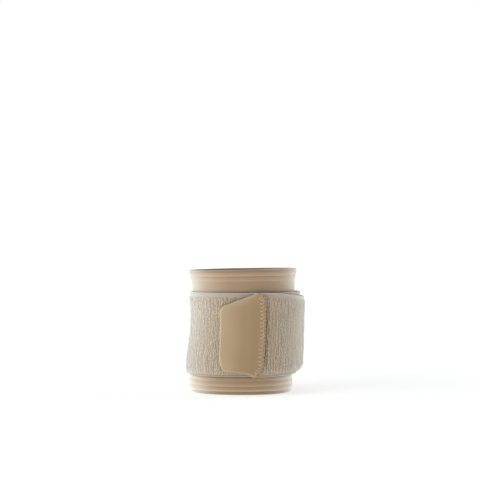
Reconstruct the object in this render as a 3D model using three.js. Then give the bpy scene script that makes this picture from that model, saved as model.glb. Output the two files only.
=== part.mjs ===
// Wrist wrap: an elastic sleeve, a loop-faced strap wound round it, and a tab that closes it.
// Millimetres, +Z up. +X is to the right and -Y to the front, where the tab lies.
import * as THREE from 'three';

// The wrist opening, inside the sleeve
const WRIST_BREADTH = 61.2;
const WRIST_DEPTH = 43.5;
const OVAL_POWER = 2.3;

// Sleeve
const SLEEVE_HEIGHT = 76;
const SLEEVE_WALL = 1.5;
const SLEEVE_LEAN = 2.1;
const TOP_RISE = 0.6;
const RIB_PITCH = 2.8;
const RIB_HEIGHT = 0.35;

// Strap, laid round the sleeve from a sewn start behind the right side
const STRAP_WIDTH = 50.8;
const STRAP_LENGTH = 250;
const STRAP_BOTTOM = 11.3;
const STRAP_START_DEG = -35;
const PILE_THICKNESS = 2.2;
const SELVEDGE_THICKNESS = 1.4;
const EDGE_THICKNESS = 0.6;
const SELVEDGE_WIDTH = 2.6;
const SHOULDER_WIDTH = 2.2;
const SHOULDER_SHARE = 0.7;
const STRAP_SLACK = 0.95;
const STRAP_NARROWING = 5.5;
const FULL_WIDTH_TURNS = 1.2;
const STRAP_CURL = 0.5;

// Closing tab, sewn over the strap's end, and the hook pad below it
const TAB_LENGTH = 26.4;
const TAB_OVERHANG = 0.2;
const TAB_THICKNESS = 1.1;
const SEAM_OVERLAP = 5.8;
const HOOK_THICKNESS = 1;
const HOOK_INSET = 2;

// Clearance between two pieces, and the length in which a layer steps over another
const GAP = 0.3;
const STEP_LENGTH = 14;

// Divisions of the faceted surfaces
const SLEEVE_SIDES = 64;
const STRAP_STEPS = 84;
const TAB_STEPS = 12;
const WAY_STEPS = 720;

// Form of the sleeve from its lower rim to its upper one. The height is a share of the
// sleeve's, the girth scales the wrist oval, and the shift to the right is a share of its breadth.
const SECTIONS = [
  { height: 0.0, girth: 0.991, shift: 0.004 },
  { height: 0.07, girth: 1.0, shift: -0.002 },
  { height: 0.26, girth: 0.996, shift: -0.002 },
  { height: 0.4, girth: 0.98, shift: 0.008 },
  { height: 0.54, girth: 0.966, shift: 0.013 },
  { height: 0.66, girth: 0.97, shift: 0.012 },
  { height: 0.76, girth: 0.985, shift: 0.006 },
  { height: 0.85, girth: 1.0, shift: 0.0 },
  { height: 0.92, girth: 1.012, shift: -0.008 },
  { height: 1.0, girth: 1.06, shift: -0.012 },
];

// Heights between which the upper rim turns up to the right, as shares of the sleeve's height
const RISE_SPAN = { from: 0.82, to: 1 };

// Heights of the points on the plain wall between the hems, as shares of the sleeve's height
const PLAIN_ROWS = [0.2, 0.32, 0.44, 0.54, 0.64, 0.74, 0.84];

// Ribs of the two hems: the first crest's distance from the rim in rib pitches, and the count
const HEMS = {
  lower: { first: 0.3, ribs: 3 },
  upper: { first: 0.95, ribs: 2 },
};

// Outline of the tab from its lower corner to its upper one. The height is a share of the
// tab's, and the sewn side and the free side are shares of its length from the sewn side.
const TAB_OUTLINE = [
  { height: 0.0, sewn: 0.17, free: 0.25 },
  { height: 0.02, sewn: 0.12, free: 0.36 },
  { height: 0.04, sewn: 0.085, free: 0.58 },
  { height: 0.059, sewn: 0.058, free: 0.75 },
  { height: 0.08, sewn: 0.035, free: 0.86 },
  { height: 0.123, sewn: 0.008, free: 0.895 },
  { height: 0.205, sewn: 0.0, free: 0.955 },
  { height: 0.311, sewn: 0.0, free: 0.998 },
  { height: 0.5, sewn: 0.0, free: 1.0 },
  { height: 0.78, sewn: 0.0, free: 0.99 },
  { height: 0.826, sewn: 0.0, free: 0.945 },
  { height: 0.854, sewn: 0.0, free: 0.88 },
  { height: 0.873, sewn: 0.002, free: 0.78 },
  { height: 0.908, sewn: 0.006, free: 0.63 },
  { height: 0.943, sewn: 0.015, free: 0.43 },
  { height: 0.977, sewn: 0.045, free: 0.26 },
  { height: 1.0, sewn: 0.1, free: 0.2 },
];

// Heights between which the hook pad lies, as shares of the tab's height
const HOOK_SPAN = { from: 0.14, to: 0.84 };

const { lerp, smoothstep, clamp, degToRad } = THREE.MathUtils;
const FULL_TURN = 2 * Math.PI;

// A smooth column of a table over its height column
function column(rows, name) {
  const heights = rows.map((row) => row.height);
  const values = rows.map((row) => row[name]);
  const curve = new THREE.CubicInterpolant(heights, values, 1);
  return (height) => curve.evaluate(clamp(height, 0, 1))[0];
}

const girthAt = column(SECTIONS, 'girth');
const shiftAt = column(SECTIONS, 'shift');
const tabSewnAt = column(TAB_OUTLINE, 'sewn');
const tabFreeAt = column(TAB_OUTLINE, 'free');

// A rounded power that keeps the sign, for the oval's slightly square corners
function ovalPower(value) {
  return Math.sign(value) * Math.abs(value) ** (2 / OVAL_POWER);
}

// Place on the wrist's surface: angle from the right side toward the front, height, and
// distance out from the sleeve's inner face
function place(angle, height, out) {
  const share = height / SLEEVE_HEIGHT;
  const girth = girthAt(share);
  const across = ovalPower(Math.cos(angle));
  const along = ovalPower(Math.sin(angle));
  const x = across * ((girth * WRIST_BREADTH) / 2 + out);
  const y = -along * ((girth * WRIST_DEPTH) / 2 + out);
  const centre = SLEEVE_LEAN * share + shiftAt(share) * WRIST_BREADTH;
  const rise = TOP_RISE * across * smoothstep(share, RISE_SPAN.from, RISE_SPAN.to);
  return new THREE.Vector3(centre + x, y, height + rise);
}

// Moves every vertex of a geometry to the place that a function gives
function bend(geometry, map) {
  const position = geometry.getAttribute('position');
  const vertex = new THREE.Vector3();
  for (let i = 0; i < position.count; i += 1) {
    const moved = map(vertex.fromBufferAttribute(position, i).clone());
    position.setXYZ(i, moved.x, moved.y, moved.z);
  }
  geometry.computeVertexNormals();
  return geometry;
}

const startAngle = degToRad(STRAP_START_DEG);
const strapMiddle = STRAP_BOTTOM + STRAP_WIDTH / 2;
const stepAngle = STEP_LENGTH / (WRIST_BREADTH / 2);

// How far the strap has climbed over its own start: 0 in the first turn and 1 in the second
function climb(angle) {
  const overlap = startAngle + FULL_TURN - GAP / WRIST_BREADTH;
  return smoothstep(angle, overlap - stepAngle, overlap);
}

// Distance from the sleeve's inner face to the strap's. The slack stands the strap off at
// the right side, and more so in the second turn.
function strapFoot(angle) {
  const side = Math.max(0, Math.cos(angle)) ** 2;
  const eased = smoothstep(angle, startAngle, startAngle + stepAngle);
  const slack = STRAP_SLACK * side * eased * (1 + climb(angle));
  return SLEEVE_WALL + GAP + (PILE_THICKNESS + GAP) * climb(angle) + slack;
}

// The strap's way: lengths along its middle layer from its start, over two turns
function wayPlace(step) {
  const angle = startAngle + (2 * FULL_TURN * step) / WAY_STEPS;
  return place(angle, SLEEVE_HEIGHT / 2, strapFoot(angle) + PILE_THICKNESS / 2);
}

const way = [0];
for (let step = 1; step <= WAY_STEPS; step += 1) {
  way.push(way[step - 1] + wayPlace(step - 1).distanceTo(wayPlace(step)));
}

// Angle round the wrist at a distance along the strap's way
function angleAt(distance) {
  const next = Math.max(1, way.findIndex((length) => length >= distance));
  const step = next - 1 + (distance - way[next - 1]) / (way[next] - way[next - 1]);
  return startAngle + (2 * FULL_TURN * step) / WAY_STEPS;
}

// Height of the hems' rounded ribs above the sleeve's outside
function ribHeight(height) {
  const fromLower = height / RIB_PITCH - HEMS.lower.first;
  const fromUpper = (SLEEVE_HEIGHT - height) / RIB_PITCH - HEMS.upper.first;
  const inLower = Math.abs(fromLower - (HEMS.lower.ribs - 1) / 2) <= HEMS.lower.ribs / 2;
  const inUpper = Math.abs(fromUpper - (HEMS.upper.ribs - 1) / 2) <= HEMS.upper.ribs / 2;
  const turns = inLower ? fromLower : fromUpper;
  return inLower || inUpper ? (RIB_HEIGHT * (1 + Math.cos(2 * Math.PI * turns))) / 2 : 0;
}

function hemHeights(hem) {
  const quarters = Array.from({ length: 4 * hem.ribs + 1 }, (_, i) => hem.first - 0.5 + i / 4);
  return quarters.map((quarter) => quarter * RIB_PITCH).filter((height) => height > 0);
}

function sleeveProfile() {
  const lower = hemHeights(HEMS.lower);
  const upper = hemHeights(HEMS.upper).map((height) => SLEEVE_HEIGHT - height).reverse();
  const plain = PLAIN_ROWS.map((share) => share * SLEEVE_HEIGHT);
  const inside = SECTIONS.map((row) => row.height * SLEEVE_HEIGHT);
  const outside = [0, ...lower, ...plain, ...upper, SLEEVE_HEIGHT];
  const wall = [
    ...inside.map((height) => new THREE.Vector2(0, height)),
    ...outside.reverse().map((height) => new THREE.Vector2(SLEEVE_WALL + ribHeight(height), height)),
  ];
  return [...wall, wall[0].clone()];
}

// Elastic sleeve: a closed wall turned round the wrist and laid on its oval
function sleeveGeometry() {
  const core = WRIST_BREADTH;
  const profile = sleeveProfile().map((point) => new THREE.Vector2(core + point.x, point.y));
  const lathe = new THREE.LatheGeometry(profile, SLEEVE_SIDES);
  return bend(lathe, (point) => {
    const angle = Math.atan2(point.x, point.z);
    return place(angle, point.y, Math.hypot(point.x, point.z) - core);
  });
}

// Rows of the strap's section from its lower edge to its upper one: a selvedge that thickens
// from the edge, a shoulder, the thick loop pile, and the same again
function strapSection() {
  const shoulder = SELVEDGE_WIDTH + SHOULDER_WIDTH;
  const halfway = lerp(SELVEDGE_THICKNESS, PILE_THICKNESS, SHOULDER_SHARE);
  const half = [
    { across: 0, thickness: EDGE_THICKNESS },
    { across: EDGE_THICKNESS / 2, thickness: lerp(EDGE_THICKNESS, SELVEDGE_THICKNESS, 0.5) },
    { across: SELVEDGE_WIDTH, thickness: SELVEDGE_THICKNESS },
    { across: SELVEDGE_WIDTH + SHOULDER_WIDTH / 2, thickness: halfway },
    { across: shoulder, thickness: PILE_THICKNESS },
    { across: (shoulder + STRAP_WIDTH / 2) / 2, thickness: PILE_THICKNESS },
  ];
  const middle = { across: STRAP_WIDTH / 2, thickness: PILE_THICKNESS };
  const rest = half.map((row) => ({ ...row, across: STRAP_WIDTH - row.across })).reverse();
  return [...half, middle, ...rest];
}

// The strap is pressed thin where the tab is sewn over its end
function pressed(distance) {
  const thin = SELVEDGE_THICKNESS / PILE_THICKNESS;
  return lerp(1, thin, smoothstep(distance, STRAP_LENGTH - SEAM_OVERLAP, STRAP_LENGTH));
}

// Loop-faced strap: one band wound 1.3 turns, its end under the tab
function strapGeometry() {
  const section = strapSection();
  const band = new THREE.BoxGeometry(1, 1, 1, STRAP_STEPS, section.length - 1, 1);
  return bend(band, (point) => {
    const distance = (0.5 - point.x) * STRAP_LENGTH;
    const angle = angleAt(distance);
    const row = section[Math.round((point.y + 0.5) * (section.length - 1))];
    const toEdge = Math.min(row.across, STRAP_WIDTH - row.across);
    const pulled = climb(angle) * (1 - smoothstep(angle, FULL_TURN, FULL_WIDTH_TURNS * FULL_TURN));
    const narrowed = 1 - (STRAP_NARROWING / STRAP_WIDTH) * pulled;
    const curl = STRAP_CURL * climb(angle) * (1 - smoothstep(toEdge, 0, 2 * SELVEDGE_WIDTH));
    const thickness = row.thickness * pressed(distance);
    const out = strapFoot(angle) - curl + (point.z + 0.5) * thickness;
    return place(angle, strapMiddle + (row.across - STRAP_WIDTH / 2) * narrowed, out);
  });
}

const tabStart = STRAP_LENGTH - SEAM_OVERLAP;
const tabHeight = STRAP_WIDTH + 2 * TAB_OVERHANG;
const tabBottom = strapMiddle - tabHeight / 2;
const hookStart = STRAP_LENGTH + HOOK_INSET / 2;

// Distance from the sleeve's inner face to the tab's: over the strap's end, then on the
// hook pad, which lies on the first turn
function tabFoot(distance) {
  const overStrap = strapFoot(angleAt(distance)) + PILE_THICKNESS * pressed(distance) + GAP;
  const onHook = SLEEVE_WALL + GAP + PILE_THICKNESS + GAP + HOOK_THICKNESS + GAP;
  return lerp(overStrap, onHook, smoothstep(distance, STRAP_LENGTH, STRAP_LENGTH + STEP_LENGTH / 2));
}

// A thin pad laid on the wrap between two edges, over part of the tab's height
function padGeometry(from, to, sewnEdge, freeEdge, foot, thickness) {
  const rows = TAB_OUTLINE.map((row) => row.height).filter((share) => share > from && share < to);
  const shares = [from, ...rows, to];
  const pad = new THREE.BoxGeometry(1, 1, 1, TAB_STEPS, shares.length - 1, 1);
  return bend(pad, (point) => {
    const share = shares[Math.round((point.y + 0.5) * (shares.length - 1))];
    const distance = lerp(sewnEdge(share), freeEdge(share), 0.5 - point.x);
    const out = foot(distance) + (point.z + 0.5) * thickness;
    return place(angleAt(distance), tabBottom + share * tabHeight, out);
  });
}

const tabSewnEdge = (share) => tabStart + tabSewnAt(share) * TAB_LENGTH;
const tabFreeEdge = (share) => tabStart + tabFreeAt(share) * TAB_LENGTH;

function tabGeometry() {
  return padGeometry(0, 1, tabSewnEdge, tabFreeEdge, tabFoot, TAB_THICKNESS);
}

function hookGeometry() {
  const foot = (distance) => tabFoot(distance) - GAP - HOOK_THICKNESS;
  const start = () => hookStart;
  const end = (share) => tabFreeEdge(share) - HOOK_INSET;
  return padGeometry(HOOK_SPAN.from, HOOK_SPAN.to, start, end, foot, HOOK_THICKNESS);
}

function cloth(colour, roughness) {
  return new THREE.MeshStandardMaterial({ color: colour, roughness, metalness: 0 });
}

function piece(name, geometry, material) {
  const mesh = new THREE.Mesh(geometry, material);
  mesh.name = name;
  return mesh;
}

const wrap = new THREE.Group();
wrap.add(
  piece('wrist_sleeve', sleeveGeometry(), cloth(0xbc9d7c, 0.85)),
  piece('wrap_strap', strapGeometry(), cloth(0xbea88f, 0.95)),
  piece('closure_tab', tabGeometry(), cloth(0xbd9f7b, 0.7)),
  piece('hook_pad', hookGeometry(), cloth(0xa98a66, 0.6)),
);

// The part stands on its lower rim, centred on the origin
const box = new THREE.Box3().setFromObject(wrap);
const centre = box.getCenter(new THREE.Vector3());
wrap.position.set(-centre.x, -centre.y, -box.min.z);

export default wrap;
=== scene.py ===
"""Wrist wrap: an elastic sleeve, a loop-faced strap wound round it, and its closing tab."""

import math
import random

import bmesh
import bpy
import numpy as np
from bpy.props import FloatProperty, FloatVectorProperty, IntProperty, PointerProperty
from mathutils import Matrix, Vector


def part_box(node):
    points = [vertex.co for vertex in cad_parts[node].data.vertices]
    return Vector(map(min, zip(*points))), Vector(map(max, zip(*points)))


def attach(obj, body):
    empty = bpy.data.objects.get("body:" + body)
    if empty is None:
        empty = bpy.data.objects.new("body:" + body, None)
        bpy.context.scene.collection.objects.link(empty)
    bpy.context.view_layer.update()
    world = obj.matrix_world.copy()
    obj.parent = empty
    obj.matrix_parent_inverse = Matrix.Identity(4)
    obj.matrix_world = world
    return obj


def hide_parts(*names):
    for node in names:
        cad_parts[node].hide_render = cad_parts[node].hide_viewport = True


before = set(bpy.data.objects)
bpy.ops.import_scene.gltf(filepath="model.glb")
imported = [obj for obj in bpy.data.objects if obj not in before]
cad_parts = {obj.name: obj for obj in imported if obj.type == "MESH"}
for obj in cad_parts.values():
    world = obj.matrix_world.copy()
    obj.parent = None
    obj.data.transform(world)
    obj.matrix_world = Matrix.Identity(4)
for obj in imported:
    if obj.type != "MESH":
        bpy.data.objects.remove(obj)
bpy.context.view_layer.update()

bl_info = {
    "name": "Wrist wrap",
    "version": (1, 0, 0),
    "blender": (4, 5, 0),
    "location": "View3D > Sidebar > Wrist Wrap",
    "description": "Models an elastic wrist wrap with its loop pile, closing tab and stitches",
    "category": "Object",
}

MM = 0.001
TURN = 2 * math.pi

# The form of the solids in millimetres: the wrist's opening, the sleeve, the strap, the tab over
# the strap's end, the hook tape below it, and the gap that is left between two layers
WRIST_BREADTH = 61.2
WRIST_DEPTH = 43.5
OVAL_POWER = 2.3
SLEEVE_HEIGHT = 76.0
SLEEVE_WALL = 1.5
SLEEVE_LEAN = 2.1
TOP_RISE = 0.6
RISE_SPAN = (0.82, 1)
STRAP_WIDTH = 50.8
STRAP_LENGTH = 250.0
STRAP_BOTTOM = 11.3
STRAP_START = math.radians(-35)
PILE_THICKNESS = 2.2
SELVEDGE_THICKNESS = 1.4
SELVEDGE_WIDTH = 2.6
SHOULDER_WIDTH = 2.2
STRAP_SLACK = 0.95
STRAP_NARROWING = 5.5
STRAP_CURL = 0.5
STRAP_FLARE = 1.2
TAB_LENGTH = 26.4
TAB_OVERHANG = 0.2
TAB_HEIGHT = STRAP_WIDTH + 2 * TAB_OVERHANG
TAB_THICKNESS = 1.1
SEAM_OVERLAP = 5.8
HOOK_THICKNESS = 1.0
HOOK_INSET = 2.0
HOOK_SPAN = (0.14, 0.84)
GAP = 0.3
STEP_LENGTH = 14.0

# Form of the sleeve from its lower rim up: girth scales the oval, shift is a share of its breadth
SECTIONS = [
    {"height": 0.0, "girth": 0.991, "shift": 0.004},
    {"height": 0.07, "girth": 1.0, "shift": -0.002},
    {"height": 0.26, "girth": 0.996, "shift": -0.002},
    {"height": 0.4, "girth": 0.98, "shift": 0.008},
    {"height": 0.54, "girth": 0.966, "shift": 0.013},
    {"height": 0.66, "girth": 0.97, "shift": 0.012},
    {"height": 0.76, "girth": 0.985, "shift": 0.006},
    {"height": 0.85, "girth": 1.0, "shift": 0.0},
    {"height": 0.92, "girth": 1.012, "shift": -0.008},
    {"height": 1.0, "girth": 1.06, "shift": -0.012},
]

# The hems' ribs: the first crest's distance from the rim in rib pitches, and their count
LOWER_HEM = (1.36, 2)
UPPER_HEM = (0.95, 2)

# Past the last crest the hems' colour fades, between these shares of a pitch from where the next
# crest would be
HEM_FADE = (0.8, 0.2)

# Outline of the tab from its lower corner up, as shares of its length from the sewn side
TAB_OUTLINE = [
    {"height": 0.0, "sewn": 0.17, "free": 0.2},
    {"height": 0.02, "sewn": 0.12, "free": 0.24},
    {"height": 0.04, "sewn": 0.085, "free": 0.35},
    {"height": 0.051, "sewn": 0.067, "free": 0.47},
    {"height": 0.059, "sewn": 0.058, "free": 0.66},
    {"height": 0.065, "sewn": 0.05, "free": 0.86},
    {"height": 0.111, "sewn": 0.015, "free": 0.91},
    {"height": 0.158, "sewn": 0.004, "free": 0.95},
    {"height": 0.205, "sewn": 0.0, "free": 0.975},
    {"height": 0.311, "sewn": 0.0, "free": 1.0},
    {"height": 0.5, "sewn": 0.0, "free": 1.015},
    {"height": 0.78, "sewn": 0.0, "free": 1.03},
    {"height": 0.826, "sewn": 0.0, "free": 0.985},
    {"height": 0.854, "sewn": 0.0, "free": 0.915},
    {"height": 0.873, "sewn": 0.002, "free": 0.78},
    {"height": 0.908, "sewn": 0.006, "free": 0.63},
    {"height": 0.943, "sewn": 0.015, "free": 0.43},
    {"height": 0.977, "sewn": 0.045, "free": 0.26},
    {"height": 1.0, "sewn": 0.1, "free": 0.2},
]


def linear(colour):
    """An sRGB hex colour as linear red, green and blue."""
    channels = [int(colour[i : i + 2], 16) / 255 for i in (0, 2, 4)]
    return [c / 12.92 if c <= 0.04045 else ((c + 0.055) / 1.055) ** 2.4 for c in channels]


def smoothstep(value, start, end):
    """0 before start, 1 after end, and smooth between them."""
    share = np.clip((value - start) / (end - start), 0, 1)
    return share * share * (3 - 2 * share)


def column(rows, name):
    """A smooth function of a table's height, through one of its columns."""
    at = np.array([row["height"] for row in rows])
    value = np.array([row[name] for row in rows])
    slope = np.diff(value) / np.diff(at)
    tangent = np.concatenate((slope[:1], (slope[:-1] + slope[1:]) / 2, slope[-1:]))

    def look_up(share):
        share = np.clip(share, 0, 1)
        i = np.clip(np.searchsorted(at, share, side="right") - 1, 0, len(at) - 2)
        step = at[i + 1] - at[i]
        r = (share - at[i]) / step
        ease = r * r * (3 - 2 * r)
        leave = step * tangent[i] * r * (1 - r) ** 2
        arrive = step * tangent[i + 1] * r * r * (r - 1)
        return value[i] * (1 - ease) + value[i + 1] * ease + leave + arrive

    return look_up


girth_at = column(SECTIONS, "girth")
shift_at = column(SECTIONS, "shift")


def oval_power(value):
    """A rounded power that keeps the sign, for the oval's slightly square corners."""
    return np.sign(value) * np.abs(value) ** (2 / OVAL_POWER)


def loose_place(angle, height, out):
    """Places round the wrist in millimetres, before the part is centred on its origin."""
    share = height / SLEEVE_HEIGHT
    girth = girth_at(share)
    across = oval_power(np.cos(angle))
    along = oval_power(np.sin(angle))
    centre = SLEEVE_LEAN * share + shift_at(share) * WRIST_BREADTH
    x = centre + across * (girth * WRIST_BREADTH / 2 + out)
    y = -along * (girth * WRIST_DEPTH / 2 + out)
    z = height + TOP_RISE * across * smoothstep(share, *RISE_SPAN)
    return np.stack(np.broadcast_arrays(x, y, z), axis=-1)


def frame_offset(samples=65):
    """How far the part was moved to centre it, from the sleeve's own box in the frame."""
    low, high = (np.array(corner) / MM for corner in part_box("wrist_sleeve"))
    angle, height = np.meshgrid(np.linspace(0, TURN, samples), [0, SLEEVE_HEIGHT])
    rims = loose_place(angle, height, SLEEVE_WALL).reshape(-1, 3)
    middle = (rims.min(axis=0) + rims.max(axis=0)) / 2
    return np.array([*((low + high) / 2 - middle)[:2], low[2]])


OFFSET = frame_offset()


def place(angle, height, out):
    """Places in metres: angle from the right side to the front, height, and distance out."""
    return (loose_place(angle, height, out) + OFFSET) * MM


STEP_ANGLE = STEP_LENGTH / (WRIST_BREADTH / 2)


def climb(angle):
    """How far the strap has climbed over its own start: 0 in the first turn, 1 in the second."""
    overlap = STRAP_START + TURN - GAP / WRIST_BREADTH
    return smoothstep(angle, overlap - STEP_ANGLE, overlap)


def strap_foot(angle):
    """Distance from the sleeve's inner face to the strap's, with its slack at the right side."""
    side = np.maximum(0, np.cos(angle)) ** 2
    eased = smoothstep(angle, STRAP_START, STRAP_START + STEP_ANGLE)
    slack = STRAP_SLACK * side * eased * (1 + climb(angle))
    return SLEEVE_WALL + GAP + (PILE_THICKNESS + GAP) * climb(angle) + slack


# The strap's way round the sleeve: angles over two turns, and the length up to each of them
TURN_STEPS = 360
WAY_ANGLES = STRAP_START + np.linspace(0, 2 * TURN, 2 * TURN_STEPS + 1)
WAY_PLACES = loose_place(WAY_ANGLES, SLEEVE_HEIGHT / 2, strap_foot(WAY_ANGLES) + PILE_THICKNESS / 2)
WAY_STEPS = np.linalg.norm(np.diff(WAY_PLACES, axis=0), axis=1)
WAY = np.concatenate(([0], np.cumsum(WAY_STEPS)))


def angle_at(distance):
    """Angle round the wrist at a distance along the strap from its start."""
    return np.interp(distance, WAY, WAY_ANGLES)


class WristWrapSettings(bpy.types.PropertyGroup):
    """Sizes and colours of the wrap's finish."""

    rib_pitch: FloatProperty(
        name="Hem rib pitch", description="Distance between the hems' ribs",
        default=2.8 * MM, unit="LENGTH", precision=5,
    )
    rib_height: FloatProperty(
        name="Hem rib height", description="Height of the hems' ribs above the sleeve",
        default=0.45 * MM, unit="LENGTH", precision=5,
    )
    wale_pitch: FloatProperty(
        name="Wale pitch", description="Distance between the pile's rows of loops",
        default=2.1 * MM, unit="LENGTH", precision=5,
    )
    loop_pitch: FloatProperty(
        name="Loop pitch", description="Distance between two loops in a row",
        default=1.05 * MM, unit="LENGTH", precision=5,
    )
    loop_height: FloatProperty(
        name="Loop height", description="Height of a loop above the strap's ground cloth",
        default=0.45 * MM, unit="LENGTH", precision=5,
    )
    yarn_radius: FloatProperty(
        name="Yarn radius", description="Radius of the pile's yarn",
        default=0.15 * MM, unit="LENGTH", precision=5,
    )
    stitch_pitch: FloatProperty(
        name="Stitch pitch", description="Distance between two stitches along the tab's seam",
        default=2.3 * MM, unit="LENGTH", precision=5,
    )
    stitch_reach: FloatProperty(
        name="Stitch reach", description="Width of the overlock seam",
        default=3.1 * MM, unit="LENGTH", precision=5,
    )
    thread_radius: FloatProperty(
        name="Thread radius", description="Radius of the seam's thread",
        default=0.29 * MM, unit="LENGTH", precision=5,
    )
    loop_seed: IntProperty(
        name="Loop seed", description="Seed of the loops' irregular places", default=7,
    )
    sleeve_colour: FloatVectorProperty(
        name="Sleeve", description="Colour of the knitted elastic",
        subtype="COLOR", size=3, min=0, max=1, default=linear("b49777"),
    )
    hem_colour: FloatVectorProperty(
        name="Hems", description="Colour of the sleeve's ribbed hems",
        subtype="COLOR", size=3, min=0, max=1, default=linear("bb9a76"),
    )
    strap_colour: FloatVectorProperty(
        name="Strap", description="Colour of the loop pile",
        subtype="COLOR", size=3, min=0, max=1, default=linear("b9a48c"),
    )
    tab_colour: FloatVectorProperty(
        name="Tab", description="Colour of the tab's brushed tricot",
        subtype="COLOR", size=3, min=0, max=1, default=linear("a88c68"),
    )
    # Colour of the painted highlight toward the tab's free end
    painted_highlight_colour: FloatVectorProperty(
        name="Tab highlight", description="Colour of the tab's nap at its free end",
        subtype="COLOR", size=3, min=0, max=1, default=linear("c0a784"),
    )
    thread_colour: FloatVectorProperty(
        name="Thread", description="Colour of the seam's thread",
        subtype="COLOR", size=3, min=0, max=1, default=linear("bda27e"),
    )
    hook_colour: FloatVectorProperty(
        name="Hook tape", description="Colour of the hook tape below the tab",
        subtype="COLOR", size=3, min=0, max=1, default=linear("8f7454"),
    )


# The pale fibre ends that stand off each of these cloths
FUZZ_COLOUR = linear("f9f5eb")


def add_node(tree, kind, links=None, **settings):
    """Adds a node with its settings, and sets or links its inputs."""
    node = tree.nodes.new(kind)
    for name, value in settings.items():
        setattr(node, name, value)
    for key, value in (links or {}).items():
        if isinstance(value, bpy.types.NodeSocket):
            tree.links.new(value, node.inputs[key])
        else:
            node.inputs[key].default_value = value
    return node


def new_material(name):
    """An empty node material with its tree."""
    material = bpy.data.materials.new(name)
    material.use_nodes = True
    material.node_tree.nodes.clear()
    return material, material.node_tree


def finish_cloth(tree, colour, height, bump_depth, roughness, fuzz):
    """Cloth's shader, from sockets for its colour and height: a matt body under the sheen of pale
    fuzz, which is seen edge-on, and so densest, where the cloth turns away. The share of the fuzz
    is a number or a socket."""
    bump = add_node(tree, "ShaderNodeBump", {"Height": height, "Distance": bump_depth, "Strength": 1.0})
    body = add_node(
        tree, "ShaderNodeBsdfPrincipled",
        {
            "Base Color": colour, "Normal": bump.outputs["Normal"], "Roughness": roughness,
            "Specular IOR Level": 0.2, "Sheen Weight": 0.6, "Sheen Roughness": 0.45,
        },
    )
    sheen = add_node(tree, "ShaderNodeBsdfDiffuse", {"Color": (*FUZZ_COLOUR, 1)})
    edge_on = add_node(tree, "ShaderNodeLayerWeight", {"Blend": 0.7}).outputs["Facing"]
    share = calculate(tree, "MULTIPLY", edge_on, fuzz)
    mix = add_node(
        tree, "ShaderNodeMixShader", {0: share, 1: body.outputs["BSDF"], 2: sheen.outputs["BSDF"]}
    )
    add_node(tree, "ShaderNodeOutputMaterial", {"Surface": mix.outputs["Shader"]})


def cloth_axes(tree):
    """The two directions of a cloth's own map, in metres: along it and up it."""
    uv = add_node(tree, "ShaderNodeUVMap", uv_map="cloth")
    return add_node(tree, "ShaderNodeSeparateXYZ", {"Vector": uv.outputs["UV"]}).outputs


def cloth_grain(tree, along, up, detail):
    """Noise on a cloth's own map, with a grain of these two sizes in metres."""
    uv = add_node(tree, "ShaderNodeUVMap", uv_map="cloth")
    scale = (1 / along, 1 / up, 1)
    spread = add_node(
        tree, "ShaderNodeVectorMath", {0: uv.outputs["UV"], 1: scale}, operation="MULTIPLY"
    )
    noise = add_node(
        tree, "ShaderNodeTexNoise", {"Vector": spread.outputs[0], "Scale": 1.0, "Detail": detail}
    )
    return noise.outputs["Fac"]


def calculate(tree, operation, first, second=0.0):
    """The result of a sum on one or two values."""
    return add_node(tree, "ShaderNodeMath", {0: first, 1: second}, operation=operation).outputs[0]


def weigh(tree, first, second, share):
    """Two values mixed: this share of the second, and the rest of the first."""
    rest = calculate(tree, "MULTIPLY", first, 1 - share)
    return calculate(tree, "ADD", rest, calculate(tree, "MULTIPLY", second, share))


def ripple(tree, axis, pitch):
    """A wave from 0 to 1 along one of a cloth's directions, with its pitch in metres."""
    wave = calculate(tree, "SINE", calculate(tree, "MULTIPLY", axis, TURN / pitch))
    return calculate(tree, "ADD", calculate(tree, "MULTIPLY", wave, 0.5), 0.5)


def blend_colours(tree, share, first, second):
    """A colour between two, by a share from 0 to 1. Each of them is a colour or a socket."""
    pair = [c if isinstance(c, bpy.types.NodeSocket) else (*c, 1) for c in (first, second)]
    mix = add_node(tree, "ShaderNodeMix", {0: share, 6: pair[0], 7: pair[1]}, data_type="RGBA")
    return mix.outputs[2]


def dotted_rows(tree, along, up):
    """Raised spots in rows over a cloth, with their pitch along it and up it in metres."""
    axes = cloth_axes(tree)
    return calculate(tree, "MULTIPLY", ripple(tree, axes["X"], along), ripple(tree, axes["Y"], up))


def attribute(tree, name):
    """A value written on a piece's vertices."""
    return add_node(tree, "ShaderNodeAttribute", attribute_name=name).outputs["Fac"]


def shade(colour, factor):
    """A colour made darker or lighter, by one factor or by one for each channel."""
    return [min(1.0, float(channel)) for channel in np.multiply(colour, factor)]


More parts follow.
